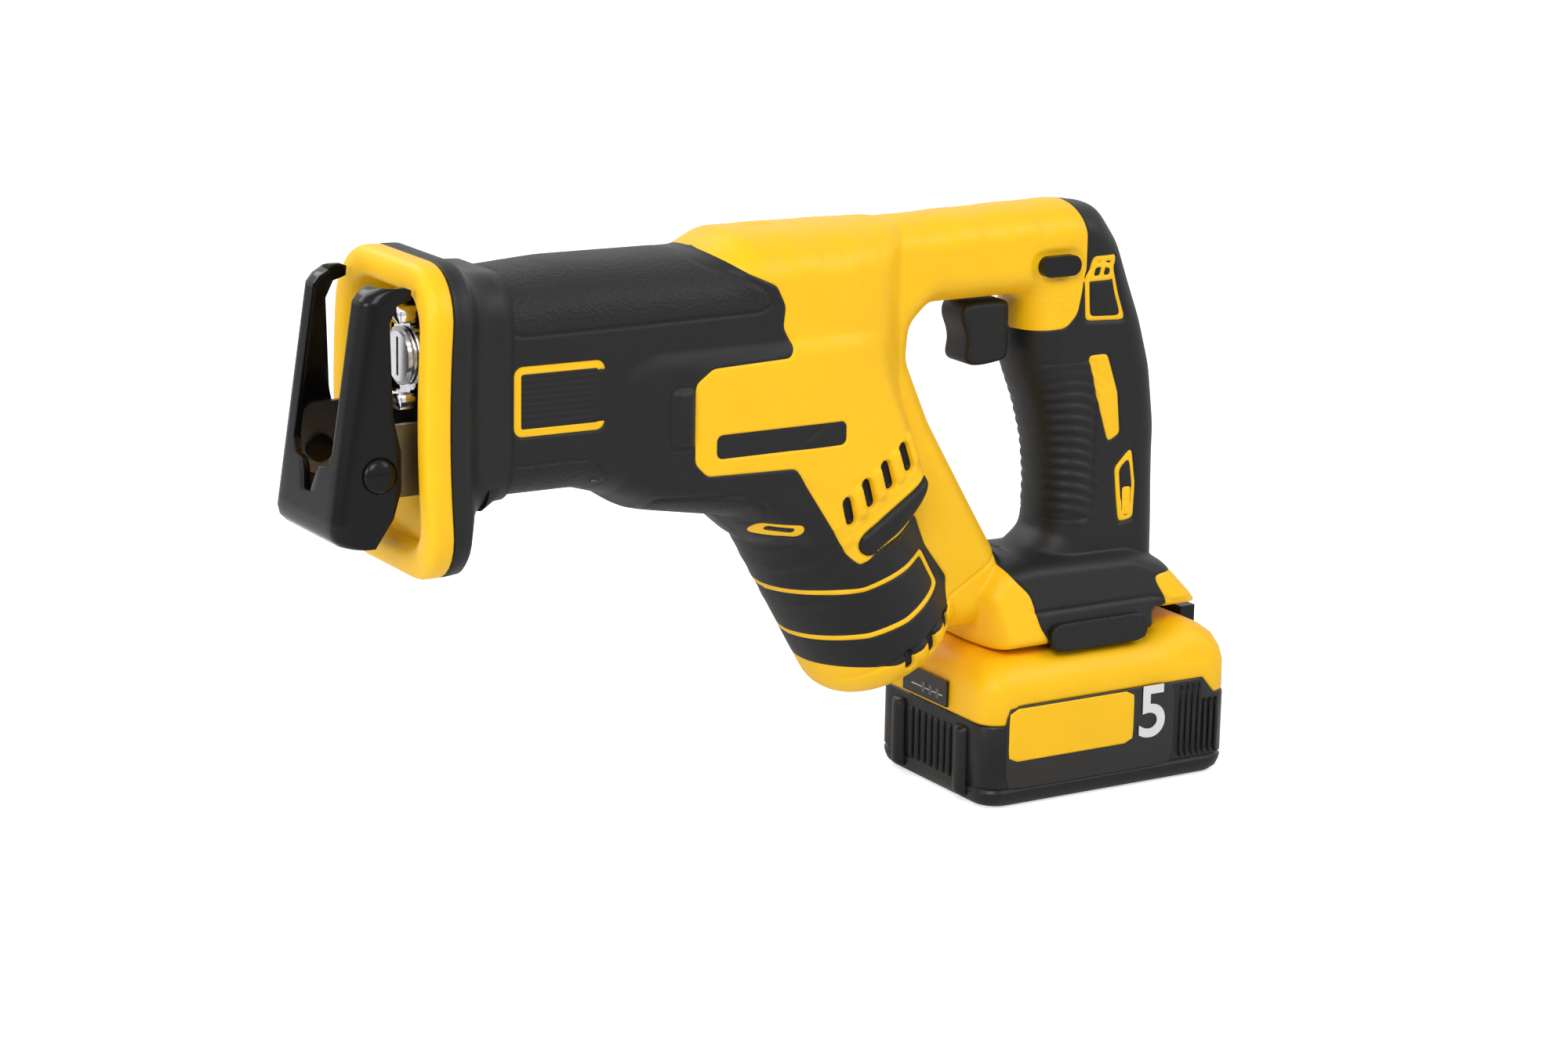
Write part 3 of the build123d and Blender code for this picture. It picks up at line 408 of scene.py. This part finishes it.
def detail(X, Z, height, along, across, badge):
    """Raised and sunk detail, in mm along the width."""
    relief = np.zeros_like(X)
    upper = blur(polygon(X, Z, UPPER_PATCH), 1.5)
    for outline in (LOWER_PATCH, BELLY_PATCH):
        ring = blur(polygon(X, Z, outline), 1.5)
        relief += 0.45 * step(ring, 1.0) - 0.7 * groove(ring, 0.7)
    relief += 0.5 * step(upper, 1.0) - 0.8 * groove(upper, 0.8)
    bumper = slab(X, Z, -196.5, -187.5, 157.5, 179.5, 2.2)
    relief += 1.6 * step(bumper - 0.8, 2.0) - 0.5 * groove(bumper + 0.4, 0.7)
    bar = capsule(X, Z, *REST_BAR, 5.0)
    relief += 1.2 * step(bar - 1.1, 1.6) - 0.8 * groove(bar, 0.7)
    rim = capsule(X, Z, *REST_BAR, 7.2)
    relief += 0.5 * step(rim, 1.0)
    plate = slab(X, Z, *NAME_STRIP)
    relief += -0.5 * step(plate, 0.5)
    relief += -0.7 * step(badge, 0.8) + 0.5 * step(badge - 2.2, 0.5)
    ribs = 0.5 + 0.5 * np.cos(2 * math.pi * (Z - 180) / 2.2)
    relief += -0.4 * ribs * step(badge - 3.4, 0.8)
    for x, z in VENTS:
        well = side_slot(X, Z, x, z)
        fin = capsule(X, Z, (x + 5.2, z - 0.8), (x + 3.2, z + 6.8), 2.0)
        relief += -3.6 * step(well, 0.9) + 1.3 * step(fin, 1.6)
    for x, z in END_VENTS:
        well = end_slot(X, Z, x, z)
        fin = capsule(X, Z, (x + 6.0, z + 0.6), (x + 4.4, z + 5.2), 1.9)
        relief += -3.0 * step(well, 0.8) + 1.0 * step(fin, 1.4)
    fingers = (along > 66) & (across < 12)
    wave = np.cos(2 * math.pi * (along - 66) / 9.5)
    relief += np.where(fingers, 0.55 * np.clip(wave, -0.2, 1), 0) * step(96 - along, 5) * step(
        -across - 2, 8) * step(along - 67, 2)
    relief += -0.8 * groove(along - 130, 0.7) * step(60 - across, 3) * (
        along > 100)
    ring = blur(polygon(X, Z, WARNING_FRAME), 1.0)
    relief += -0.3 * step(ring - 1.6, 0.5)
    grip = np.exp(-(((X + 10) / 14) ** 4)) * np.exp(-(((Z - 137) / 30) ** 6))
    relief += grip * 0.45 * np.cos(2 * math.pi * (Z + 0.02 * (X + 10) ** 2) / 4.6)
    patch = slab(X, Z, -26, 3, 106, 170, 6)
    relief += -0.6 * groove(patch, 0.8)
    fine = slab(X, Z, -32, -11, 187, 200, 1.0)
    relief += 0.22 * np.cos(2 * math.pi * (Z - 187) / 1.5) * step(fine, 0.8)
    lock = slab(X, Z, -30, -6, 203, 215, 6)
    relief += -0.9 * step(lock, 1.6)
    for outline in (UPPER_INSERT, LOWER_INSERT):
        ring = blur(polygon(X, Z, outline), 1.0)
        relief += 0.35 * step(ring - 1.6, 0.6) - 0.5 * groove(ring + 0.5, 0.6)
    foot_line = blur(polygon(X, Z, [(-60, 75.5), (-36, 75.5), (-30, 74), (27, 74), (36, 71), (70, 71),
                                    (70, 40), (-60, 40)]), 1.0)
    relief += -0.6 * groove(foot_line, 0.7) * step(X + 33, 1.5)
    panel = blur(polygon(X, Z, [(-187, 186), (-150, 187), (-140, 197), (-112, 190), (-92, 160),
                                (-84, 140), (-66, 92), (-80, 100), (-140, 140), (-187, 140)]), 3.0)
    relief += 0.7 * step(panel, 3.0)
    facet = 0.5 + 0.5 * np.cos(2 * math.pi * (X + 60) / 26)
    relief += 0.8 * step(facet - 0.5, 0.3) * step(Z - 220, 6) * step(-X - 10, 6) * step(X + 150, 8)
    return relief * step(height - 2.5, 4)


def surface(name, X, Z, height, edge, keep, mat_index, materials, nodes, wells):
    """Both sides of the body as one mesh, joined along the outline."""
    gx, gz = np.gradient(edge, STEP)
    size = np.maximum(np.hypot(gx, gz), 0.2)
    shift = np.where(edge < 0, np.clip(-edge, 0, 1.5 * STEP), 0)
    PX = X + gx / size * shift
    PZ = Z + gz / size * shift
    H = np.where(edge <= 0, 0, np.maximum(height, 0))
    rows, cols = X.shape
    index = np.arange(rows * cols).reshape(rows, cols)
    quads = np.stack([index[:-1, :-1], index[1:, :-1], index[1:, 1:], index[:-1, 1:]], -1)
    inside = edge > 0
    corner = inside[:-1, :-1] | inside[1:, :-1] | inside[1:, 1:] | inside[:-1, 1:]
    kept = keep[:-1, :-1] | keep[1:, :-1] | keep[1:, 1:] | keep[:-1, 1:]
    quads = quads[corner & kept]
    slots = mat_index[:-1, :-1][corner & kept]
    points = []
    rim = (H.ravel() <= 1e-6)
    for side, depth in ((-1, H), (1, H - wells)):
        points.append(np.stack([PX.ravel(), side * np.maximum(depth, 0).ravel(), PZ.ravel()], -1))
    total = rows * cols
    near = quads
    far = quads[:, ::-1] + total
    far = np.where(rim[far - total], far - total, far)
    faces = np.concatenate([near, far])
    face_slots = np.concatenate([slots, slots])
    points = np.concatenate(points)
    used = np.unique(faces)
    remap = np.zeros(len(points), int)
    remap[used] = np.arange(len(used))
    return make_object(name, points[used], remap[faces], materials, "tool", nodes,
                       face_slots=face_slots)


def build_body():
    X, Z, height, edge, along, across = body_fields()
    black, badge = color_field(X, Z, along, across)
    relief = detail(X, Z, height, along, across, badge)
    base = height + relief
    lip = step(height - 1.5, 3)
    black_height = base + np.clip(black, -1.4, 0.5) * 0.9 * lip
    yellow_height = base - np.clip(black, -0.4, 1.4) * 0.9 * lip
    wells = np.zeros_like(X)
    for corner in screw_centres():
        wells += 5.0 * step(3.6 - np.hypot(X - corner[0], Z - corner[1]), 0.7)
    textured = np.maximum.reduce([
        blur(polygon(X, Z, UPPER_PATCH), 1.5), blur(polygon(X, Z, LOWER_PATCH), 1.5),
        blur(polygon(X, Z, BELLY_PATCH), 1.5), polygon(X, Z, UPPER_INSERT) - 1.5,
        polygon(X, Z, LOWER_INSERT) - 1.5])
    grain = (textured > 0).astype(int)
    surface("yellow_housing", X, Z, yellow_height, edge, black < 1.3, np.zeros_like(grain),
            [YELLOW], ("housing_left", "housing_right", "motor_end_cap"), wells)
    surface("black_overmould", X, Z, black_height, edge, black > -1.3, grain, [BLACK, GRAIN],
            ("barrel_sleeve", "grip_overmold", "motor_cover"), wells)


def screw_centres():
    """Centres of the screw heads, from the frame's own screws."""
    mesh = frame["nodes"]["housing_screws"].data
    points = np.array([(v.co.x, v.co.z) for v in mesh.vertices]) / MM
    centres = []
    for point in points:
        if all(np.hypot(*(point - c[0])) > 9 for c in centres):
            centres.append([point, []])
    for point in points:
        nearest = min(centres, key=lambda c: np.hypot(*(point - c[0])))
        nearest[1].append(point)
    return [(np.max(c[1], 0) + np.min(c[1], 0)) / 2 for c in centres]


# ---- lofted rings -------------------------------------------------------
def rounded_loop(half, low, high, radius, count=96):
    """Points (y, z) round a rounded rectangle, evenly by angle."""
    middle = (low + high) / 2
    tall = (high - low) / 2
    out = []
    for i in range(count):
        angle = 2 * math.pi * i / count
        c, s = math.cos(angle), math.sin(angle)
        reach = 0.0
        top = max(half, tall) * 1.6
        for _ in range(24):
            mid = (reach + top) / 2
            qx = max(abs(mid * c) - half + radius, 0)
            qz = max(abs(mid * s) - tall + radius, 0)
            inside = (math.hypot(qx, qz) <= radius and abs(mid * c) <= half
                      and abs(mid * s) <= tall)
            reach, top = (mid, top) if inside else (reach, mid)
        out.append((reach * c, middle + reach * s))
    return np.array(out)


def loft(sections, close=False):
    """Quads between loops of equal count; each section is an array of 3-D points."""
    count = len(sections[0])
    points = np.concatenate(sections)
    faces = []
    for j in range(len(sections) - 1):
        for i in range(count):
            a = j * count + i
            b = j * count + (i + 1) % count
            faces.append((a, b, b + count, a + count))
    if close:
        faces.append(tuple(range(count))[::-1])
        faces.append(tuple(range(len(points) - count, len(points))))
    return points, faces


def nose_loop(x, inset, share, lean=0.0):
    """A loop of the nose at x; share 0 is the flared rim and 1 the barrel."""
    half = (1 - share) * NOSE_HIGH[1] + share * (BARREL_HALF - 0.6) - inset
    low = (1 - share) * NOSE_LOW[2] + share * (SLEEVE_LOW[2] + 14) + inset
    high = (1 - share) * NOSE_HIGH[2] + share * 225.6 - inset
    radius = max((1 - share) * 21 + share * 16 - inset * 0.6, 4)
    loop = rounded_loop(half, low, high, radius)
    bow = 3.0 * (1 - ((loop[:, 1] - 175) / 57) ** 2) * (1 - share)
    xs = x - bow + lean * (loop[:, 1] - 175)
    return np.stack([xs, loop[:, 0], loop[:, 1]], -1)


def build_nose():
    front = NOSE_LOW[0] + 3.4
    lip = [nose_loop(front + 17, 13.6, 0.06), nose_loop(front + 10, 12.4, 0.02),
           nose_loop(front + 4.0, 11.0, 0), nose_loop(front + 1.4, 10.2, 0),
           nose_loop(front + 0.2, 8.6, 0), nose_loop(front - 0.2, 6.6, 0),
           nose_loop(front - 0.2, 4, 0), nose_loop(front + 0.2, 2, 0),
           nose_loop(front + 1.4, 0.5, 0), nose_loop(front + 3, 0, 0), nose_loop(front + 8, 0, 0),
           nose_loop(front + 8.8, 0.4, 0), nose_loop(front + 9.4, 1.5, 0)]
    points, faces = loft(lip)
    make_object("nose_trim", points, faces, [YELLOW], "tool", ("nose_ring",))
    skin = [nose_loop(front + 9.2, 1.8, 0), nose_loop(front + 9.3, 0.5, 0),
            nose_loop(front + 10, 0, 0), nose_loop(front + 15, 0, 0.02),
            nose_loop(front + 16.5, 0.4, 0.07), nose_loop(front + 18, 0, 0.3),
            nose_loop(front + 19.5, 0, 0.55), nose_loop(front + 22, 0, 0.76),
            nose_loop(front + 26, 0, 0.92), nose_loop(front + 31, 0, 0.99),
            nose_loop(front + 36, 0.2, 1.0), nose_loop(front + 37, 2.5, 1.0)]
    points, faces = loft(skin)
    make_object("nose_skin", points, faces, [BLACK], "tool")
    tunnel = [nose_loop(front + 16.5, 12.8, 0.06), nose_loop(front + 30, 9.5, 0.55)]
    points, faces = loft(tunnel)
    make_object("nose_lining", points, faces, [DARK], "tool")
    loops = []
    for x, inset in ((front + 14, 0), (front + 6.5, 0), (front + 6, 0.6)):
        loop = rounded_loop(NOSE_HIGH[1] - 9.5 - inset, NOSE_LOW[2] + 9, 148.5 - inset, 6, 64)
        loops.append(np.stack([np.full(64, x), loop[:, 0], loop[:, 1]], -1))
    points, faces = loft(loops, close=True)
    make_object("nose_sill", points, faces, [YELLOW], "tool")


# ---- battery ------------------------------------------------------------
def pack_loop(z, inset, corner=9.0, count=200, bulge=0.0):
    half_x = (CASE_HIGH[0]) - inset
    half_y = CASE_HIGH[1] - inset
    loop = rounded_loop(half_x, -half_y, half_y, corner, count)
    side = np.clip((half_x - 8 - np.abs(loop[:, 0])) / 6, 0, 1)
    rise = bulge * side * (np.abs(loop[:, 1]) > half_y - 3)
    return np.stack([loop[:, 0], loop[:, 1], np.full(count, z) + rise], -1)


def build_battery():
    seam = COVER_LOW[2]
    low = [pack_loop(0, 5), pack_loop(0.5, 2.6), pack_loop(2.2, 1), pack_loop(4.4, 0.3),
           pack_loop(6, 0), pack_loop(6.6, 0), pack_loop(7.2, 0.8), pack_loop(8, 0.8),
           pack_loop(8.6, 0), pack_loop(seam - 1.2, 0, bulge=7), pack_loop(seam - 0.3, 0.4, bulge=7),
           pack_loop(seam, 1.4, bulge=7)]
    points, faces = loft(low, close=True)
    make_object("battery_lower_case", points, faces, [CASE], "battery", ("battery_case",))
    top = [pack_loop(seam - 1, 1.2, bulge=7), pack_loop(seam + 0.3, 0.5, bulge=7),
           pack_loop(seam + 1, 0.25, bulge=7), pack_loop(46, 0.4), pack_loop(50, 1.4),
           pack_loop(54, 4), pack_loop(56.5, 7.5), pack_loop(57.6, 11), pack_loop(58, 16)]
    points, faces = loft(top, close=True)
    points = np.array(points)
    rear = np.clip((points[:, 0] - 24) / 14, 0, 1) * np.clip((points[:, 2] - 46) / 8, 0, 1)
    points[:, 2] += rear * 5.0 * np.clip(1 - (points[:, 0] - 38) / 30, 0, 1)
    cover = make_object("battery_top_cover", points, faces, [YELLOW], "battery",
                        ("battery_cover",))
    half = CASE_HIGH[1]
    for side, tag in ((-1, "left"), (1, "right")):
        side_plate(f"pack_panel_{tag}", -50, 30.5, 7.5, 41, side * half, 0.35, PRINT, 4)
        side_plate(f"pack_label_{tag}", -49, 10.5, 18.8, 40.2, side * half, 0.75, YELLOW, 3)
        for i in range(7):
            x = 33.5 + i * 2.9
            top = 39 if x < 43 else 32
            side_plate(f"pack_rib_{tag}_{i}", x, x + 1.5, 9, top, side * half, 0.8, CASE, 0.7)
        digit("5", f"pack_number_{tag}", (19.5, side * (half + 0.8), 20.5), 22, side)
    front = CASE_LOW[0] + 2.5
    for y in (-22, 22):
        front_bar(f"pack_foot_{'a' if y < 0 else 'b'}", front, y, 4, 3, 31, 3.0)
    for i in range(7):
        front_bar(f"pack_front_rib_{i}", front, -13.5 + i * 4.5, 1.2, 8, 29, 1.2)
    low, high = span("battery_gauge")
    for i in range(3):
        y = low[1] + 6 + i * 5.0
        face_box(f"gauge_light_{i}", low[0] - 0.25, y, 1.1, low[2] + 2.2, low[2] + 6.2, PLATE)
    face_box("gauge_line", low[0] - 0.2, (low[1] + high[1]) / 2 - 2, 11, low[2] + 3.9,
             low[2] + 4.3, WHITE)


def side_plate(name, x0, x1, z0, z1, y, lift, mat, radius, body="battery"):
    """A thin rounded plate on a side face, with a soft edge."""
    side = 1 if y > 0 else -1
    loops = []
    for inset, out in ((0, -0.6), (0, lift * 0.6), (min(0.3, radius * 0.4), lift),
                       (min(0.9, radius), lift)):
        loop = rounded_loop((x1 - x0) / 2 - inset, z0 + inset, z1 - inset,
                            max(radius - inset, 0.1), 64)
        loops.append(np.stack([loop[:, 0] + (x0 + x1) / 2, np.full(64, y + side * out),
                               loop[:, 1]], -1))
    points, faces = loft(loops, close=True)
    return make_object(name, points, faces, [mat], body)


def front_bar(name, x, y, half, z0, z1, out):
    """An upright rib with a round front, on the pack's front face."""
    loops = []
    for z, shrink in ((z0, 0.5), (z0 + 1, 0.1), (z0 + 3, 0), (z1 - 3, 0), (z1 - 1, 0.1), (z1, 0.5)):
        loop = []
        for i in range(24):
            angle = math.pi * (0.5 + i / 23)
            loop.append((x + (out * (1 - shrink)) * math.cos(angle),
                         y + half * (1 - shrink * 0.4) * math.sin(angle), z))
        loop.append((x + 3, y - half, z))
        loop.append((x + 3, y + half, z))
        loops.append(np.array(loop))
    points, faces = loft(loops, close=True)
    return make_object(name, points, faces, [CASE], "battery")


def face_box(name, x, y, half, z0, z1, mat):
    points = [(x, y - half, z0), (x, y + half, z0), (x, y + half, z1), (x, y - half, z1),
              (x + 0.4, y - half, z0), (x + 0.4, y + half, z0), (x + 0.4, y + half, z1),
              (x + 0.4, y - half, z1)]
    faces = [(0, 3, 2, 1), (4, 5, 6, 7), (0, 1, 5, 4), (1, 2, 6, 5), (2, 3, 7, 6), (3, 0, 4, 7)]
    obj = make_object(name, points, faces, [mat], "battery", smooth=False)
    return bevel(obj, 0.12, 2)


def digit(text, name, place, size, side):
    curve = bpy.data.curves.new(name, "FONT")
    curve.body = text
    curve.size = size * 1.35 * MM
    curve.extrude = 0.15 * MM
    curve.offset = 0.45 * MM
    curve.align_x = "CENTER"
    obj = bpy.data.objects.new(name, curve)
    curve.materials.append(WHITE)
    bpy.context.scene.collection.objects.link(obj)
    turn = Matrix.Rotation(math.radians(90), 4, "X")
    if side > 0:
        turn = Matrix.Rotation(math.radians(180), 4, "Z") @ turn
    obj.matrix_world = Matrix.Translation(Vector(place) * MM) @ turn
    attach(obj, "battery")
    return obj


# ---- small pieces -------------------------------------------------------
def pillow(name, outline, half, radius, mat, body, nodes=()):
    """A side outline carried across the width, with rounded long edges."""
    line = np.array(outline, float)
    count = 160
    seg = np.hypot(*(np.roll(line, -1, 0) - line).T)
    place = np.concatenate([[0], np.cumsum(seg)])
    t = np.arange(count) / count * place[-1]
    closed = np.concatenate([line, line[:1]])
    line = np.stack([np.interp(t, place, closed[:, k]) for k in (0, 1)], -1)
    for _ in range(40):
        line = (np.roll(line, 1, 0) + 2 * line + np.roll(line, -1, 0)) / 4
    along = np.roll(line, -1, 0) - np.roll(line, 1, 0)
    normal = np.stack([along[:, 1], -along[:, 0]], -1)
    normal /= np.hypot(*normal.T)[:, None]
    if np.sum(normal * (line - line.mean(0))) < 0:
        normal = -normal
    sections = []
    turns = [math.pi / 2 * i / 6 for i in range(7)]
    for side, order in ((-1, turns[::-1]), (1, turns)):
        for turn in order:
            ring = line - normal * radius * (1 - math.cos(turn))
            y = side * (half - radius + radius * math.sin(turn))
            sections.append(np.stack([ring[:, 0], np.full(count, y), ring[:, 1]], -1))
    points, faces = loft(sections, close=True)
    return make_object(name, points, faces, [mat], body, nodes)


def build_trigger():
    low, high = span("trigger")
    x0, x1, z0, z1 = low[0], high[0], low[2], high[2]
    x1 = min(x1, x0 + 22)
    outline = [(x0 + 1, z1), (x0 - 0.5, z1 - 6), (x0 + 2.5, z1 - 12), (x0 + 3.5, z1 - 17),
               (x0 + 1.5, z0 + 3), (x0 + 3, z0), (x0 + 10, z0 - 0.5), (x1, z0 + 1), (x1, z1)]
    pillow("trigger_face", outline, high[1], 2.8, BLACK, "trigger", ("trigger",))


def build_shoe():
    """The stamped shoe: a folded sheet with a window and two hooked legs."""
    low, high = span("shoe")
    front = [(0, 6.5), (1.2, 3.0), (3.5, 0.8), (7, 0), (87, 12), (90, 14.5), (92, 18), (93, 24)]
    rear = [(0, 15), (10, 22), (20, 25), (34, 25), (47, 22), (80, 21), (86, 24), (87.5, 29),
            (91, 29.3), (92, 27)]
    window = [(0, 2.5), (17, 2.5), (24, 5), (27, 7), (28, 13), (33, 16), (93, 16)]
    heights = sorted(set([0, 1.2, 2.4, 3.5, 5, 7] + list(np.linspace(10, 80, 36)) +
                         [17, 24, 27, 28, 33, 84, 86, 87, 87.6, 89, 90, 91, 92]))
    half = high[1]
    fold = 6.5
    window_bottom = 17
    sections = []
    for h in heights:
        x0 = low[0] + np.interp(h, *zip(*front))
        x1 = low[0] + np.interp(h, *zip(*rear))
        edge = np.interp(h, *zip(*window))
        side = [(x, half) for x in np.linspace(x1, x0 + fold, 6)]
        bend = [(x0 + fold - fold * math.sin(a), half - fold + fold * math.cos(a))
                for a in np.linspace(0, math.pi / 2, 9)[1:]]
        flange = [(x0, y) for y in np.linspace(half - fold, edge, 5)[1:]]
        path = side + bend + flange
        if x1 < x0 + fold:
            path = [(min(x, x1), y) for x, y in path]
        path = path + [(x, -y) for x, y in path[::-1]]
        sections.append([(x, y, low[2] + h) for x, y in path])
    count = len(sections[0])
    points = np.array(sections).reshape(-1, 3)
    faces = []
    for j in range(len(heights) - 1):
        for i in range(count - 1):
            if i == count // 2 - 1 and heights[j] >= window_bottom:
                continue
            a = j * count + i
            faces.append((a, a + 1, a + 1 + count, a + count))
    shoe = make_object("shoe_fork", points, faces, [GLOSS], "shoe", ("shoe",))
    sheet = shoe.modifiers.new("sheet", "SOLIDIFY")
    sheet.thickness = 2.5 * MM
    sheet.offset = -1
    bevel(shoe, 0.35, 2, 60)
    low, high = span("shoe_rivets")
    x, z = (low[0] + high[0]) / 2, (low[2] + high[2]) / 2
    for side, tag in ((-1, "left"), (1, "right")):
        rings = []
        for radius, out in ((6.4, -0.5), (6.6, 0.4), (6.1, 1.6), (4.8, 2.6), (2.8, 3.2), (0.4, 3.4)):
            rings.append([(x + radius * math.cos(a), side * (half + out), z + radius * math.sin(a))
                          for a in np.linspace(0, 2 * math.pi, 41)[:-1]])
        points, faces = loft(np.array(rings), close=True)
        make_object(f"rivet_head_{tag}", points, faces, [GLOSS], "shoe_bracket")


def build_trim():
    low, high = PAD_LOW, PAD_HIGH
    for side in (-1, 1):
        side_plate(f"foot_pad_{'left' if side < 0 else 'right'}", low[0], high[0],
                               low[2], high[2], side * FOOT_HALF, 2.2, GRAIN, 4, "tool")
    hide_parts("foot_bumpers")


def build_clamp_trim():
    """The wire-formed tabs on the front of the blade clamp."""
    low, high = span("clamp_body")
    for i, z in enumerate((high[2] + 1, low[2] - 7)):
        loops = []
        for x, half in ((low[0] - 2, 2.2), (low[0] - 1.6, 2.8), (high[0] - 12, 2.8),
                        (high[0] - 11.6, 2.2)):
            loop = rounded_loop(half + 4, z, z + 6, 1.2, 32)
            loops.append(np.stack([np.full(32, x), loop[:, 0], loop[:, 1]], -1))
        points, faces = loft(loops, close=True)
        make_object(f"clamp_tab_{i}", points, faces, [CHROME], "ram")


# ---- CAD nodes that stay ------------------------------------------------
def finish_nodes():
    slots = {p["node"]: p["material_slot"] for p in frame["record"]["subparts"]}
    for name, node in frame["nodes"].items():
        node.data.materials.clear()
        node.data.materials.append(FINISH[slots[name]])
        if name in ("lock_button", "shoe_bracket", "shoe_lever",
                    "battery_latch", "clamp_body", "clamp_collar", "shoe_rivets", "battery_gauge"):
            width = {"lock_button": 1.2, "shoe_rivets": 0.9}
            bevel(node, width.get(name, 0.4))
            for face in node.data.polygons:
                face.use_smooth = True


# ---- stage --------------------------------------------------------------
CAMERA_PLACE = (-0.88516, -1.23434, 0.47851)
CAMERA_TURN = (-31.5, 14.1, 1.07)    # azimuth, elevation and roll, in degrees
CAMERA_LENS = 90.0


def stage():
    scene = bpy.context.scene
    camera = bpy.data.objects.new("camera", bpy.data.cameras.new("camera"))
    camera.data.lens = CAMERA_LENS
    camera.data.sensor_width = 36.0
    camera.data.clip_start = 0.01
    azimuth, elevation, roll = (math.radians(v) for v in CAMERA_TURN)
    back = Vector((math.sin(azimuth) * math.cos(elevation),
                   -math.cos(azimuth) * math.cos(elevation), math.sin(elevation)))
    right = Vector((math.cos(azimuth), math.sin(azimuth), 0))
    up = back.cross(right)
    right, up = (right * math.cos(roll) + up * math.sin(roll),
                 up * math.cos(roll) - right * math.sin(roll))
    camera.matrix_world = Matrix.Translation(CAMERA_PLACE) @ Matrix(
        (right, up, back)).transposed().to_4x4()
    scene.collection.objects.link(camera)
    scene.camera = camera

    mesh = bpy.data.meshes.new("floor")
    mesh.from_pydata([(-6, -6, -0.0005), (6, -6, -0.0005), (6, 6, -0.0005), (-6, 6, -0.0005)],
                     [], [(0, 1, 2, 3)])
    floor = bpy.data.objects.new("floor", mesh)
    scene.collection.objects.link(floor)
    mat, tree, shader = new_material("floor_white", (0.86, 0.86, 0.86), 0.9)
    path = tree.nodes.new("ShaderNodeLightPath")
    glow = tree.nodes.new("ShaderNodeMath")
    glow.operation = "MULTIPLY"
    glow.inputs[1].default_value = 0.62
    tree.links.new(path.outputs["Is Camera Ray"], glow.inputs[0])
    shader.inputs["Emission Color"].default_value = (1, 1, 1, 1)
    tree.links.new(glow.outputs[0], shader.inputs["Emission Strength"])
    mesh.materials.append(mat)

    world = bpy.data.worlds.new("studio")
    scene.world = world
    world.use_nodes = True
    tree = world.node_tree
    background = tree.nodes["Background"]
    path = tree.nodes.new("ShaderNodeLightPath")
    add = tree.nodes.new("ShaderNodeMath")
    add.operation = "MAXIMUM"
    tree.links.new(path.outputs["Is Camera Ray"], add.inputs[0])
    tree.links.new(path.outputs["Is Transmission Ray"], add.inputs[1])
    gloss = tree.nodes.new("ShaderNodeMath")
    gloss.operation = "MAXIMUM"
    tree.links.new(add.outputs[0], gloss.inputs[0])
    tree.links.new(path.outputs["Is Glossy Ray"], gloss.inputs[1])
    mixed = tree.nodes.new("ShaderNodeMapRange")
    mixed.inputs["To Min"].default_value = 0.38
    mixed.inputs["To Max"].default_value = 1.0
    tree.links.new(gloss.outputs[0], mixed.inputs["Value"])
    background.inputs["Color"].default_value = (1, 1, 1, 1)
    tree.links.new(mixed.outputs["Result"], background.inputs["Strength"])

    middle = (CAD_BOX[0] + CAD_BOX[1]) / 2
    lamps = (((-0.9, -1.1, 1.3), 1.0, 17), ((0.9, -0.9, 1.0), 0.9, 8), ((-0.5, 1.2, 1.2), 1.0, 10),
             ((-1.3, -0.1, 0.5), 0.5, 5))
    for number, (place, size, power) in enumerate(lamps):
        light = bpy.data.lights.new(f"softbox_{number}", "AREA")
        light.size = size
        light.energy = power
        lamp = bpy.data.objects.new(f"softbox_{number}", light)
        lamp.location = middle + Vector(place)
        lamp.rotation_mode = "QUATERNION"
        lamp.rotation_quaternion = (-Vector(place)).to_track_quat("-Z", "Y")
        scene.collection.objects.link(lamp)
    scene.view_settings.view_transform = "Standard"


build_body()
build_nose()
build_battery()
build_trim()
build_trigger()
build_shoe()
build_clamp_trim()
finish_nodes()
stage()
